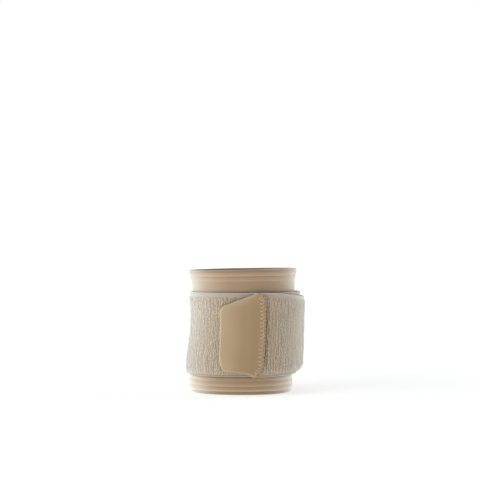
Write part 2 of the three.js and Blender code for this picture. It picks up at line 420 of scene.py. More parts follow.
def knitted_elastic(colour, hem_colour):
    """Ribbed elastic: covered rubber laid in a close polyester knit. Fine courses run round the
    wrist. The hems' ribs carry a painted highlight on their crests and painted shade in their
    grooves, and warmer, darker painted shade lies in the creases that the strap's edges press into
    the knit and along the lower rim. The fuzz is thinner toward the upper hem."""
    material, tree = new_material("knitted_rib_elastic")
    axes = cloth_axes(tree)
    courses = ripple(tree, axes["Y"], 0.7 * MM)
    wales = ripple(tree, axes["X"], 0.9 * MM)
    faint_wales = calculate(tree, "ADD", calculate(tree, "MULTIPLY", wales, 0.5), 0.5)
    knit = calculate(tree, "MULTIPLY", courses, faint_wales)
    cloud = cloth_grain(tree, 14 * MM, 2.4 * MM, 3.0)
    share = weigh(tree, knit, cloud, 0.6)
    plain = blend_colours(tree, share, shade(colour, 0.93), shade(colour, 1.06))
    # Painted highlight on the hems' crests and painted shade in their grooves
    crest = blend_colours(tree, attribute(tree, "crest"), shade(hem_colour, 0.71), shade(hem_colour, 0.96))
    knitted = blend_colours(tree, attribute(tree, "hem"), plain, crest)
    # Painted shade, warmer and darker, in the creases by the strap's edges and along the lower rim
    shown = blend_colours(tree, attribute(tree, "crease_and_shade"), knitted, shade(hem_colour, 0.4))
    # Less fuzz toward the upper hem, so that the sleeve's edges are less pale there
    fuzz_by_height = add_node(
        tree, "ShaderNodeMapRange",
        {"Value": axes["Y"], "From Max": SLEEVE_HEIGHT * MM, "To Min": 0.95, "To Max": 0.65},
    )
    relief = weigh(tree, knit, cloud, 0.3)
    finish_cloth(tree, shown, relief, 0.07 * MM, 0.85, fuzz_by_height.outputs["Result"])
    return material


def loop_ground(colour):
    """The strap's knitted ground cloth: close and corded at the selvedges, where it is greyer and
    pinker. Painted shade lies under the pile, so that the gaps between the loops look deep, and on
    the lower selvedge; darker painted shade lies in the seam's groove and along the lower edge."""
    material, tree = new_material("loop_ground_cloth")
    grain = cloth_grain(tree, 1.4 * MM, 0.8 * MM, 4.0)
    cords = dotted_rows(tree, 0.75 * MM, 0.8 * MM)
    pale = shade(colour, (1.1, 1.17, 1.4))
    edge = blend_colours(tree, weigh(tree, grain, cords, 0.5), shade(pale, 0.9), shade(pale, 1.1))
    # Painted shade under the pile and on the lower selvedge, darker in the seam's groove and lower edge
    below = blend_colours(tree, attribute(tree, "painted_ground_shade"), edge, shade(colour, 0.85))
    shown = blend_colours(tree, attribute(tree, "groove"), below, shade(colour, 0.4))
    finish_cloth(tree, shown, weigh(tree, grain, cords, 0.6), 0.16 * MM, 0.9, 0.6)
    return material


def loop_pile(colour):
    """Nylon loop pile, brushed up from the ground cloth in uneven rows: each loop has its own random
    tone, with painted light toward its cream top and painted shade toward its pinker, darker foot."""
    material, tree = new_material("loop_pile_nylon")
    grain = cloth_grain(tree, 3.0 * MM, 9.0 * MM, 3.0)
    share = weigh(tree, attribute(tree, "tone_and_shade"), grain, 0.15)
    foot = shade(colour, (1.27, 1.15, 1.0))
    top = shade(colour, (1.95, 2.2, 2.35))
    finish_cloth(tree, blend_colours(tree, share, foot, top), grain, 0.01 * MM, 0.85, 1.0)
    return material


def brushed_tricot(colour, painted_highlight_colour):
    """Nylon tricot laminated to the hook tape: smooth and close, with hardly any grain and a satin
    sheen. A painted highlight makes it paler toward the free end, and painted shade draws a dark
    line along its lower rim."""
    material, tree = new_material("brushed_tricot")
    cloud = cloth_grain(tree, 7 * MM, 12 * MM, 2.0)
    fine = cloth_grain(tree, 0.35 * MM, 0.5 * MM, 2.0)
    fresh = blend_colours(tree, weigh(tree, cloud, fine, 0.3), shade(colour, 0.95), shade(colour, 1.05))
    # Painted highlight toward the free end
    painted_highlight = blend_colours(tree, attribute(tree, "painted_highlight"), fresh, painted_highlight_colour)
    # Painted shade along the tab's lower rim
    shown = blend_colours(tree, attribute(tree, "lower_rim_shade"), painted_highlight, shade(colour, 0.6))
    finish_cloth(tree, shown, fine, 0.02 * MM, 0.5, 0.25)
    return material


def sewing_thread(colour):
    """Spun polyester thread, with the fine oblique lines of its twist: paler than the cloth, so that
    each stitch shows."""
    material, tree = new_material("spun_polyester_thread")
    place_on = add_node(tree, "ShaderNodeTexCoord")
    noise = add_node(tree, "ShaderNodeTexNoise", {"Vector": place_on.outputs["Object"], "Scale": 4000.0})
    shown = blend_colours(tree, noise.outputs["Fac"], shade(colour, 0.85), shade(colour, 1.12))
    finish_cloth(tree, shown, noise.outputs["Fac"], 0.03 * MM, 0.6, 0.2)
    return material


def hook_tape(colour):
    """Woven nylon hook tape, with the rows of its hooks as low bumps. It shows only as a dark line
    in the gap under the tab's free edge."""
    material, tree = new_material("woven_nylon_hook_tape")
    hooks = dotted_rows(tree, 1.4 * MM, 1.1 * MM)
    shown = blend_colours(tree, hooks, shade(colour, 0.7), shade(colour, 0.95))
    finish_cloth(tree, shown, hooks, 0.3 * MM, 0.5, 0.1)
    return material


def write_piece(name, mesh_in, material, node=None):
    """Makes an object of a bmesh, with its material and body, and hides the part that it stands for."""
    mesh = bpy.data.meshes.new(name)
    mesh_in.to_mesh(mesh)
    mesh_in.free()
    mesh.materials.append(material)
    mesh.shade_smooth()
    piece = bpy.data.objects.new(name, mesh)
    bpy.context.scene.collection.objects.link(piece)
    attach(piece, "root")
    if node:
        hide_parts(node)
    return piece


def move_cloth(sheet, lay, period=None):
    """Lays a sheet's vertices where a function puts them: it takes their three coordinates, and
    gives their places in space and on the cloth's map, which a closed band repeats by a period,
    with the values that its material reads from the vertices."""
    sheet.verts.index_update()
    flat = np.array([vertex.co for vertex in sheet.verts])
    places, chart, values = lay(flat[:, 0], flat[:, 1], flat[:, 2])
    for name, value in values.items():
        layer = sheet.verts.layers.float.new(name)
        for vertex, each in zip(sheet.verts, value):
            vertex[layer] = each
    for vertex, position in zip(sheet.verts, places):
        vertex.co = position
    uv = sheet.loops.layers.uv[0]
    for face in sheet.faces:
        first = chart[face.loops[0].vert.index]
        for loop in face.loops:
            along, up = chart[loop.vert.index]
            if period:
                along += period * round((first[0] - along) / period)
            loop[uv].uv = (along, up)
    bmesh.ops.recalc_face_normals(sheet, faces=sheet.faces)


def cloth_block(columns, rows):
    """A flat sheet of cloth as a grid with two faces and closed edges, one unit each way."""
    sheet = bmesh.new()
    sheet.loops.layers.uv.new("cloth")
    bmesh.ops.create_grid(
        sheet, x_segments=columns, y_segments=rows, size=0.5,
        matrix=Matrix.Translation((0.5, 0.5, 0)),
    )
    raised = bmesh.ops.extrude_face_region(sheet, geom=sheet.faces[:])["geom"]
    top = [item for item in raised if isinstance(item, bmesh.types.BMVert)]
    bmesh.ops.translate(sheet, verts=top, vec=(0, 0, 1))
    return sheet


# Three waves that cross: how fast each runs along the cloth and up it, and where it starts
WAVES = ((2.1, 1.3, 0.0), (-1.4, 2.3, 1.7), (3.7, 0.6, 4.1))


def waver(along, up, size):
    """A slow uneven wave from -1 to 1 over a cloth, with features of about this size."""
    a, b = along / size, up / size
    return sum(np.sin(fast * a + steep * b + start) for fast, steep, start in WAVES) / len(WAVES)


def hem_ribs(height, pitch):
    """Height of the hems' rounded ribs as a share from 0 to 1, and which places are in a hem."""
    crest, hem = np.zeros_like(height), np.zeros_like(height)
    for from_rim, (first, count) in ((height, LOWER_HEM), (SLEEVE_HEIGHT - height, UPPER_HEM)):
        turns = from_rim / pitch - first
        inside = np.abs(turns - (count - 1) / 2) <= count / 2
        off_crest = 2 * (turns - np.round(turns))
        crest += inside * np.sqrt(np.clip(1 - off_crest**2, 0, 1))
        hem += 1 - smoothstep(turns, count - HEM_FADE[0], count - HEM_FADE[1])
    return crest, hem


class WRAP_OT_sleeve(bpy.types.Operator):
    """Models the elastic sleeve with its ribbed hems"""

    bl_idname = "wrap.sleeve"
    bl_label = "Sleeve"

    # The mesh: its columns, the step of its rows in the hems and between them, and its round rims
    SIDES = 300
    HEM = 16.0
    FINE = 0.25
    COARSE = 2.0
    ROUND = 0.6
    ROUND_STEPS = 7

    # Shallow dents of the worn knit, which the lower rim doesn't have
    DENT_DEPTH = 0.1
    DENT_SIZE = 11
    DENT_FADE = (0, 3)

    # The creases by the strap's edges, their painted shade faint to the left, and the rim's painted shade
    CREASE_WIDTH = 0.8
    CREASE_DEPTH = 0.35
    CREASE_FADE = (0.35, 0.85)
    LEFT_CREASE = 0.25
    SLEEVE_RIM_SHADE = 0.22
    RIM_SPAN = (1.2, 2.8)

    def profile(self):
        """Distance out and height of the wall's section: up inside and down outside."""
        top = SLEEVE_HEIGHT - self.ROUND
        inner = np.arange(self.ROUND, top, self.COARSE)
        fine_low = np.arange(self.ROUND, self.HEM, self.FINE)
        middle = np.arange(self.HEM, SLEEVE_HEIGHT - self.HEM, self.COARSE)
        fine_high = np.arange(SLEEVE_HEIGHT - self.HEM, top, self.FINE)
        outer = np.concatenate((fine_low, middle, fine_high))[::-1]
        around = np.linspace(0, math.pi, self.ROUND_STEPS)
        half = SLEEVE_WALL / 2
        top_rim = [(half - half * math.cos(a), top + self.ROUND * math.sin(a)) for a in around]
        low_rim = [(half + half * math.cos(a), self.ROUND - self.ROUND * math.sin(a)) for a in around]
        up = [(0.0, height) for height in inner[1:]]
        down = [(SLEEVE_WALL, height) for height in outer[1:-1]]
        return [*up, *top_rim, *down, *low_rim]

    def execute(self, context):
        settings = context.scene.wrist_wrap
        core = WRIST_BREADTH
        sheet = bmesh.new()
        sheet.loops.layers.uv.new("cloth")
        section = [sheet.verts.new((core + out, 0, height)) for out, height in self.profile()]
        edges = [sheet.edges.new(pair) for pair in zip(section, section[1:] + section[:1])]
        bmesh.ops.spin(
            sheet, geom=section + edges, cent=(0, 0, 0), axis=(0, 0, 1), dvec=(0, 0, 0),
            angle=TURN, steps=self.SIDES, use_merge=True,
        )
        girth = WAY[TURN_STEPS] - WAY[0]

        def lay(x, y, z):
            angle = np.arctan2(y, x)
            out = np.hypot(x, y) - core
            share = np.clip(out / SLEEVE_WALL, 0, 1)
            dents = self.DENT_DEPTH * waver(angle * WRIST_BREADTH / 2, z, self.DENT_SIZE)
            crest, hem = hem_ribs(z, settings.rib_pitch / MM)
            ribs = crest * settings.rib_height / MM
            from_strap = np.abs(z - STRAP_BOTTOM - STRAP_WIDTH / 2) - STRAP_WIDTH / 2
            crease_and_shade = np.exp(-((from_strap / self.CREASE_WIDTH) ** 2))
            dents = dents * smoothstep(z, *self.DENT_FADE)
            relief = share * (ribs + dents - self.CREASE_DEPTH * crease_and_shade)
            chart = np.stack((angle / TURN * girth, z), axis=-1) * MM
            # Painted shade in the creases, fainter toward the left, and painted shade along the lower rim
            lit = 1 - (1 - self.LEFT_CREASE) * smoothstep(-np.cos(angle), *self.CREASE_FADE)
            painted_shade = np.maximum(crease_and_shade * lit, self.SLEEVE_RIM_SHADE * (1 - smoothstep(z, *self.RIM_SPAN)))
            return place(angle, z, out + relief), chart, {"crest": crest, "hem": hem, "crease_and_shade": painted_shade}

        move_cloth(sheet, lay, period=girth * MM)
        sleeve = write_piece(
            "elastic_sleeve", sheet, knitted_elastic(settings.sleeve_colour, settings.hem_colour),
            "wrist_sleeve",
        )
        return {"FINISHED"}


# Places on the strap: where its pile starts and ends across it, over the lower selvedge and short
# of the upper one, where the tab starts along it and up it, the angle of its end, and the angle
# where it is back at its full width
PILE_OVERLAP = 0.6
PILE_SHORT = 0.3
PILE_FROM = SELVEDGE_WIDTH - PILE_OVERLAP
PILE_TO = STRAP_WIDTH - SELVEDGE_WIDTH - PILE_SHORT
TAB_START = STRAP_LENGTH - SEAM_OVERLAP
TAB_BOTTOM = STRAP_BOTTOM - TAB_OVERHANG
END_ANGLE = float(angle_at(STRAP_LENGTH))
FULL_WIDTH_ANGLE = 1.2 * TURN

# The pile's ragged border: how uneven it is, the size of its waves, and how it fades
RAGGED = 0.5
RAGGED_SIZE = 1.3
PILE_FADE = (-0.6, 0.4)

# The groove beside the tab's seam: its width, its depth as a share of the strap's thickness, how
# far and how often it wanders, and where it starts and ends across the strap
GROOVE_WIDTH = 0.95
GROOVE_SHARE = 0.45
GROOVE_WANDER = 0.35
GROOVE_WAVE = 5
GROOVE_FROM = (5, 12)
GROOVE_TO = (37, 46)

# The selvedges' fine cords, and the ripples of the ground cloth below the pile
CORD_HEIGHT = 0.04
CORD_PITCH = 0.8
CORD_FADE = 0.4
RIPPLE_HEIGHT = 0.08
RIPPLE_SIZE = 1.5
RIPPLE_STRETCH = 4

# The ground cloth is thinner than the pile's whole thickness by this share of a loop's height
LOOP_SHARE = 0.9


def strap_height(angle, across):
    """Height above the rim of a place across the strap, which is pulled narrow over its own
    first turn at the right side."""
    pulled = climb(angle) * (1 - smoothstep(angle, TURN, FULL_WIDTH_ANGLE))
    narrowed = 1 - STRAP_NARROWING / STRAP_WIDTH * pulled
    return STRAP_BOTTOM + STRAP_WIDTH / 2 + (across - STRAP_WIDTH / 2) * narrowed


def strap_curl(angle, across):
    """How far the strap's edges bend in: the second turn's lower edge curls in, and the first
    turn's upper edge stands off where the slack is."""
    curl = STRAP_CURL * climb(angle) * (1 - smoothstep(across, 0, 2 * SELVEDGE_WIDTH))
    side = np.maximum(0, np.cos(angle)) ** 2 * (1 - climb(angle))
    bend = 1 - smoothstep(STRAP_WIDTH - across, 0, SELVEDGE_WIDTH + SHOULDER_WIDTH)
    return curl - STRAP_FLARE * side * bend


def seam_groove(distance, across):
    """1 in the uneven line beside the tab's sewn side where the seam's thread draws in the strap,
    and 0 toward the selvedges."""
    line = TAB_START - GROOVE_WIDTH + GROOVE_WANDER * waver(across, across, GROOVE_WAVE)
    ends = smoothstep(across, *GROOVE_FROM) * (1 - smoothstep(across, *GROOVE_TO))
    return np.exp(-(((distance - line) / GROOVE_WIDTH) ** 2)) * ends


def pressed(distance):
    """Share of the strap's thickness that is left below the tab's seam."""
    thin = SELVEDGE_THICKNESS / PILE_THICKNESS
    return 1 - (1 - thin) * smoothstep(distance, TAB_START, STRAP_LENGTH)


def in_pile(distance, across):
    """1 where the strap carries its pile, 0 at the selvedges, with an uneven start of the loops."""
    inside = np.minimum(across - PILE_FROM, PILE_TO - across)
    uneven = RAGGED * waver(distance, across, RAGGED_SIZE)
    return smoothstep(inside + uneven, *PILE_FADE)


def strap_thickness(distance, across, settings):
    """Thickness of the strap's ground cloth: a bead at the edge, the thin selvedge with its fine
    cords, and the thicker middle that carries the pile."""
    to_edge = np.minimum(across, STRAP_WIDTH - across)
    ground = PILE_THICKNESS - LOOP_SHARE * settings.loop_height / MM
    edge_rows = [0, 0.1, 0.3, 0.5, 0.9, SELVEDGE_WIDTH, SELVEDGE_WIDTH + SHOULDER_WIDTH]
    thickness_rows = [0.4, 1.0, 1.4, 1.5, 1.4, 1.6, ground]
    thickness = np.interp(to_edge, edge_rows, thickness_rows)
    in_selvedge = 1 - smoothstep(to_edge, SELVEDGE_WIDTH - CORD_FADE, SELVEDGE_WIDTH)
    cords = CORD_HEIGHT * np.cos(TURN * to_edge / CORD_PITCH) * in_selvedge
    uneven = waver(distance, across / RIPPLE_STRETCH, RIPPLE_SIZE)
    ripples = RIPPLE_HEIGHT * in_pile(distance, across) * uneven
    groove = 1 - GROOVE_SHARE * seam_groove(distance, across)
    return (thickness + cords + ripples) * pressed(distance) * groove


class WRAP_OT_strap(bpy.types.Operator):
    """Models the strap's ground cloth, wound round the sleeve"""

    bl_idname = "wrap.strap"
    bl_label = "Strap"

    # The mesh: its columns, and the step of its rows at the selvedges and between them
    COLUMNS = 520
    EDGE_STEP = 0.3
    MIDDLE_STEP = 1.1

    # How dark the painted shade is on the lower selvedge, in the seam's groove and at the lower edge
    LOWER_SHADE = 0.9
    LOWER_FADE = 1
    GROOVE_SHADE = 0.75
    BEAD_SHADE = 0.4
    BEAD_SPAN = (0.3, 1.2)

    # How far the inner face draws back at the edge, and the slow sway of the strap up and down
    EDGE_LIFT = 0.3
    LIFT_WIDTH = 0.5
    SWAY = 0.12
    SWAY_SIZE = 14

    def execute(self, context):
        settings = context.scene.wrist_wrap
        edge = np.arange(0, SELVEDGE_WIDTH + 2 * SHOULDER_WIDTH, self.EDGE_STEP)
        middle = np.arange(edge[-1] + self.EDGE_STEP, STRAP_WIDTH / 2, self.MIDDLE_STEP)
        half = np.concatenate((edge, middle))
        rows = np.concatenate((half, [STRAP_WIDTH / 2], (STRAP_WIDTH - half)[::-1]))

        def lay(x, y, z):
            distance = x * STRAP_LENGTH
            across = rows[np.round(y * (len(rows) - 1)).astype(int)]
            angle = angle_at(distance)
            to_edge = np.minimum(across, STRAP_WIDTH - across)
            lift = self.EDGE_LIFT * (1 - smoothstep(to_edge, 0, self.LIFT_WIDTH))
            out = strap_foot(angle) - strap_curl(angle, across) + lift
            out = out + z * strap_thickness(distance, across, settings)
            sway = self.SWAY * waver(distance, across, self.SWAY_SIZE)
            chart = np.stack((distance, across), axis=-1) * MM
            # Painted shade under the pile and on the lower selvedge, darker in the seam's groove and at the
            # edge
            lower = 1 - smoothstep(across, SELVEDGE_WIDTH, SELVEDGE_WIDTH + self.LOWER_FADE)
            painted_ground_shade = np.maximum(in_pile(distance, across), self.LOWER_SHADE * lower)
            below = self.BEAD_SHADE * (1 - smoothstep(across, *self.BEAD_SPAN))
            groove = np.maximum(self.GROOVE_SHADE * seam_groove(distance, across), below)
            values = {"painted_ground_shade": painted_ground_shade, "groove": groove}
            return place(angle, strap_height(angle, across) + sway, out), chart, values

        sheet = cloth_block(self.COLUMNS, len(rows) - 1)
        move_cloth(sheet, lay)
        ground = loop_ground(settings.strap_colour)
        strap = write_piece("strap_ground_cloth", sheet, ground, "wrap_strap")
        return {"FINISHED"}


def tab_edges(samples=241, softening=4):
    """The tab's heights and its two edges as distances along the strap, with softened corners."""
    share = np.linspace(0, 1, samples)
    heights = [row["height"] for row in TAB_OUTLINE]
    bell = np.hanning(2 * softening + 1)
    edges = []
    for name in ("sewn", "free"):
        edge = np.interp(share, heights, [row[name] for row in TAB_OUTLINE])
        padded = np.pad(edge, softening, mode="edge")
        edges.append(TAB_START + TAB_LENGTH * np.convolve(padded, bell / bell.sum(), mode="valid"))
    return share, *edges


TAB_SHARES, TAB_SEWN, TAB_FREE = tab_edges()


def under_tab(distance, height, margin):
    """Which places are under the tab, at least this far inside its outline."""
    share = (height - TAB_BOTTOM) / TAB_HEIGHT
    sewn = np.interp(share, TAB_SHARES, TAB_SEWN) + margin
    free = np.interp(share, TAB_SHARES, TAB_FREE) - margin
    return (distance > sewn) & (distance < free)


def cloth_normals(angle, across, nearby=0.01):
    """Outward directions of the strap's outer face, which soften the shading of the loops on it."""
    height = strap_height(angle, across)
    back, ahead = (place(angle + turn, height, PILE_THICKNESS) for turn in (-nearby, nearby))
    outward = np.cross(back - ahead, (0, 0, 1))
    return outward / np.linalg.norm(outward, axis=-1, keepdims=True)


def loop_form(settings, sides=4, steps=5):
    """Vertices and faces of one loop of yarn: an arch with closed ends, in millimetres, that
    spans one loop pitch and is half of that high. Its faces are wound inward here, because the
    strap's map is a mirror image."""
    arch = bmesh.new()
    reach = settings.loop_pitch / MM / 2
    bmesh.ops.create_circle(
        arch, segments=sides, radius=settings.yarn_radius / MM, cap_ends=True,
        matrix=Matrix.Translation((reach, 0, 0)),
    )
    geometry = arch.verts[:] + arch.edges[:] + arch.faces[:]
    bmesh.ops.spin(
        arch, geom=geometry, cent=(0, 0, 0), axis=(0, -1, 0), dvec=(0, 0, 0),
        angle=math.pi, steps=steps, use_merge=False,
    )
    bmesh.ops.recalc_face_normals(arch, faces=arch.faces)
    arch.verts.index_update()
    places = np.array([vertex.co for vertex in arch.verts])
    faces = [[vertex.index for vertex in reversed(face.verts)] for face in arch.faces]
    arch.free()
    return places, faces


class WRAP_OT_pile(bpy.types.Operator):
    """Models the strap's loop pile, where it shows: high rows and, between them, low ones"""

    bl_idname = "wrap.pile"
    bl_label = "Loop pile"

    # Rows: how far each wanders, in its pitch, between knots this far apart, and how far a loop
    # strays from its place in it, along the strap in millimetres and across it in its pitch
    KNOT_STEP = 4.0
    WANDER = 0.18
    STRAY_ALONG = 0.07
    STRAY_ACROSS = 0.35
    TAB_MARGIN = -1.1

    # Loops: how much they turn and lean in radians, their sizes and heights, what a strong part of
    # a row adds to their height, and how far they sink in
    YAW = 0.3
    LEAN = 0.4
    SIZES = (0.85, 1.3)
    HEIGHTS = (0.8, 1.2)
    STRENGTH = 0.3
    SINK = 0.08

    # What makes a loop paler: painted light toward its top, chance, and its row's strength; and how
    # much its shading takes from the cloth that it stands on
    TOP_PAINTED_LIGHT = 0.2
    CHANCE_TONE = 0.45
    STRENGTH_TONE = 0.3
    SOFTNESS = 0.75

    def hidden(self, distance, across):
        """Which loops lie under the strap's second turn or under the tab."""
        angle = angle_at(distance)
        second = angle + TURN
        over = np.interp(second, WAY_ANGLES, WAY)
        height = strap_height(angle, across)
        beneath = under_tab(over, height, self.TAB_MARGIN)
        return (second < END_ANGLE) | beneath | under_tab(distance, height, self.TAB_MARGIN)

    def rows(self, settings, chance, shift):
        """Distance along the strap and place across it of each loop, with how strong it is: rows
        wander to the sides, and are strong in some parts and weak in others."""
        wale, pitch = settings.wale_pitch / MM, settings.loop_pitch / MM
        count = int(STRAP_LENGTH / wale) - 1
        loops = int((PILE_TO - PILE_FROM) / pitch)
        grids = np.meshgrid(np.arange(count), np.arange(loops + 1), indexing="ij")
        row, loop = (grid.ravel() for grid in grids)
        stray = chance.uniform(-self.STRAY_ACROSS, self.STRAY_ACROSS, row.shape)
        across = PILE_FROM + (loop + stray) * pitch
        knots = chance.uniform(-1, 1, (2, count, int(STRAP_WIDTH / self.KNOT_STEP) + 3))
        level = across / self.KNOT_STEP
        knot = level.astype(int)
        part = level - knot
        wander, strength = knots[:, row, knot] * (1 - part) + knots[:, row, knot + 1] * part
        distance = (row + 1 + shift + self.WANDER * wander) * wale
        distance = distance + chance.normal(0, self.STRAY_ALONG, row.shape)
        shown = ~self.hidden(distance, across)
        return distance[shown], across[shown], strength[shown]

    def execute(self, context):
        settings = context.scene.wrist_wrap
        chance = np.random.default_rng(settings.loop_seed)
        # The low rows start much darker: painted shade among the high rows
        self.loops(context, "strap_loops_high", chance, shift=0.0, rise=1.0, pale=0.42)
        self.loops(context, "strap_loops_low", chance, shift=0.5, rise=0.55, pale=0.04)
        return {"FINISHED"}

    def loops(self, context, name, chance, shift, rise, pale):
        """One set of rows as a piece, each loop turned, leaned and sized a little by chance."""
        settings = context.scene.wrist_wrap
        form, faces = loop_form(settings)
        distance, across, strength = self.rows(settings, chance, shift)
        count, size_of_form = len(distance), len(form)
        yaw = math.pi / 2 + chance.normal(0, self.YAW, (count, 1))
        lean = chance.normal(0, self.LEAN, (count, 1))
        size = chance.uniform(*self.SIZES, (count, 1))
        strength = strength[:, None]
        high = rise * (1 + self.STRENGTH * strength) * chance.uniform(*self.HEIGHTS, (count, 1))
        reach = settings.loop_pitch / MM / 2
        up_form = form[:, 2] * high * (settings.loop_height / MM) / reach
        x = form[:, 0] * size
        y = form[:, 1] + up_form * np.sin(lean)
        along = distance[:, None] + x * np.cos(yaw) - y * np.sin(yaw)
        up = across[:, None] + x * np.sin(yaw) + y * np.cos(yaw)
        along, up = np.clip(along, 0, STRAP_LENGTH), np.clip(up, 0, STRAP_WIDTH)
        angle = angle_at(along)
        foot = strap_foot(angle) + strap_thickness(along, up, settings) - strap_curl(angle, up)
        out = foot + up_form * np.cos(lean) - self.SINK
        places = place(angle, strap_height(angle, up), out).reshape(-1, 3)
        every = [[i + n * size_of_form for i in face] for n in range(count) for face in faces]
        mesh = bpy.data.meshes.new(name)
        mesh.from_pydata(places.tolist(), [], every)
        top = np.clip(form[:, 2] / reach, 0, 1) * high
        # A loop's tone: painted light toward its top, a random part, and a part by its row's strength
        tone_and_shades = pale + self.TOP_PAINTED_LIGHT * top + self.CHANCE_TONE * chance.random((count, 1))
        tone_and_shades = tone_and_shades + self.STRENGTH_TONE * strength
        tone_and_shade = mesh.attributes.new("tone_and_shade", "FLOAT", "POINT")
        tone_and_shade.data.foreach_set("value", np.clip(tone_and_shades, 0, 1).ravel().astype(np.float32))
        chart = mesh.uv_layers.new(name="cloth")
        corners = np.empty(len(mesh.loops), dtype=np.int32)
        mesh.loops.foreach_get("vertex_index", corners)
        flat = np.stack((along, up), axis=-1).reshape(-1, 2) * MM
        chart.data.foreach_set("uv", flat[corners].ravel().astype(np.float32))
        mesh.materials.append(loop_pile(settings.strap_colour))
        mesh.shade_smooth()
        own = np.empty((len(mesh.vertices), 3), dtype=np.float32)
        mesh.vertex_normals.foreach_get("vector", own.ravel())
        cloth = cloth_normals(angle, up).reshape(-1, 3)
        soft = own * (1 - self.SOFTNESS) + cloth * self.SOFTNESS
        soft /= np.linalg.norm(soft, axis=1, keepdims=True)
        mesh.normals_split_custom_set_from_vertices(soft.tolist())
        pile = bpy.data.objects.new(name, mesh)
        context.scene.collection.objects.link(pile)
        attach(pile, "root")


def tab_foot(distance):
    """Distance from the sleeve's inner face to the tab's: over the strap's end, then the hooks."""
    over_strap = strap_foot(angle_at(distance)) + PILE_THICKNESS * pressed(distance) + GAP
    on_hook = SLEEVE_WALL + GAP + PILE_THICKNESS + GAP + HOOK_THICKNESS + GAP
    share = smoothstep(distance, STRAP_LENGTH, STRAP_LENGTH + STEP_LENGTH / 2)
    return over_strap * (1 - share) + on_hook * share


def rounded(inside, width, thin):
    """Share of a sheet's thickness this far inside its rim, which is round and this thin."""
    return thin + (1 - thin) * np.sqrt(1 - (1 - np.clip(inside / width, 0, 1)) ** 2)


def to_outline(distance, height):
    """Distance of each place on the tab from its outline, in millimetres."""
    rim = np.concatenate((
        np.stack((TAB_SEWN, TAB_BOTTOM + TAB_SHARES * TAB_HEIGHT), axis=-1),
        np.stack((TAB_FREE, TAB_BOTTOM + TAB_SHARES * TAB_HEIGHT), axis=-1)[::-1],
    ))
    start, step = rim, np.roll(rim, -1, axis=0) - rim
    place_on = np.stack((distance, height), axis=-1)[:, None, :] - start[None]
    share = (place_on * step).sum(-1) / np.maximum((step * step).sum(-1), 1e-9)
    gap = place_on - np.clip(share, 0, 1)[..., None] * step
    return np.sqrt((gap * gap).sum(-1).min(axis=1))


# The tab's rim, which is rounded and drawn down, its sewn side's scallops, the slow waves of its
# face, its painted highlight toward the free end, and the painted shade along its lower rim
TAB_ROUND = 0.5
TAB_RIM = 0.3
TAB_DROOP = 0.4
DROOP_WIDTH = 1.3
SCALLOP = 0.14
FACE_RELIEF = 0.06
FACE_WAVE = 10
HIGHLIGHT_UNEVEN = 0.08
HIGHLIGHT_WAVE = 9
HIGHLIGHT_SPAN = (0.15, 1.1)
TAB_SHADE_WIDTH = 0.9
TAB_SHADE_SPAN = (0.08, 0.16)


def seam_pull(height, settings):
    """How far each stitch pulls in the tab's sewn edge, as small scallops."""
    return SCALLOP * np.cos(TURN * height / (settings.stitch_pitch / MM))


def tab_out(distance, height, share, settings):
    """Distance out of a place in the tab's thickness: its rim is rounded and drawn down, and the
    sewn side dips where a stitch crosses it."""
    inside = to_outline(distance, height)
    thickness = TAB_THICKNESS * rounded(inside, TAB_ROUND, TAB_RIM)
    sewn = np.interp((height - TAB_BOTTOM) / TAB_HEIGHT, TAB_SHARES, TAB_SEWN)
    in_seam = 1 - smoothstep(distance - sewn, 0, settings.stitch_reach / MM)
    droop = TAB_DROOP * (1 - smoothstep(inside, 0, DROOP_WIDTH)) + in_seam * seam_pull(height, settings)
    relief = FACE_RELIEF * waver(distance, height, FACE_WAVE)
    return tab_foot(distance) + TAB_THICKNESS / 2 + (share - 0.5) * thickness - droop + relief


class WRAP_OT_tab(bpy.types.Operator):
    """Models the smooth closing tab"""

    bl_idname = "wrap.tab"
    bl_label = "Closing tab"

    COLUMNS = 70
    ROWS = 190

    def execute(self, context):
        settings = context.scene.wrist_wrap

        def lay(x, y, z):
            x, y = (1 - np.cos(math.pi * x)) / 2, (1 - np.cos(math.pi * y)) / 2
            height = TAB_BOTTOM + y * TAB_HEIGHT
            sewn = np.interp(y, TAB_SHARES, TAB_SEWN) + seam_pull(height, settings)
            free = np.interp(y, TAB_SHARES, TAB_FREE)
            distance = sewn + x * (free - sewn)
            chart = np.stack((distance, height), axis=-1) * MM
            # Painted highlight toward the free end
            painted_highlight = smoothstep(x + HIGHLIGHT_UNEVEN * waver(distance, height, HIGHLIGHT_WAVE), *HIGHLIGHT_SPAN)
            out = tab_out(distance, height, z, settings)
            from_outline = to_outline(distance, height)
            # Painted shade along the lower rim, which faces down
            lower_rim_shade = (1 - smoothstep(from_outline, 0, TAB_SHADE_WIDTH)) * (1 - smoothstep(y, *TAB_SHADE_SPAN))
            return place(angle_at(distance), height, out), chart, {"painted_highlight": painted_highlight, "lower_rim_shade": lower_rim_shade}

        sheet = cloth_block(self.COLUMNS, self.ROWS)
        move_cloth(sheet, lay)
        cloth = brushed_tricot(settings.tab_colour, settings.painted_highlight_colour)
        tab = write_piece("tricot_tab", sheet, cloth, "closure_tab")
        return {"FINISHED"}


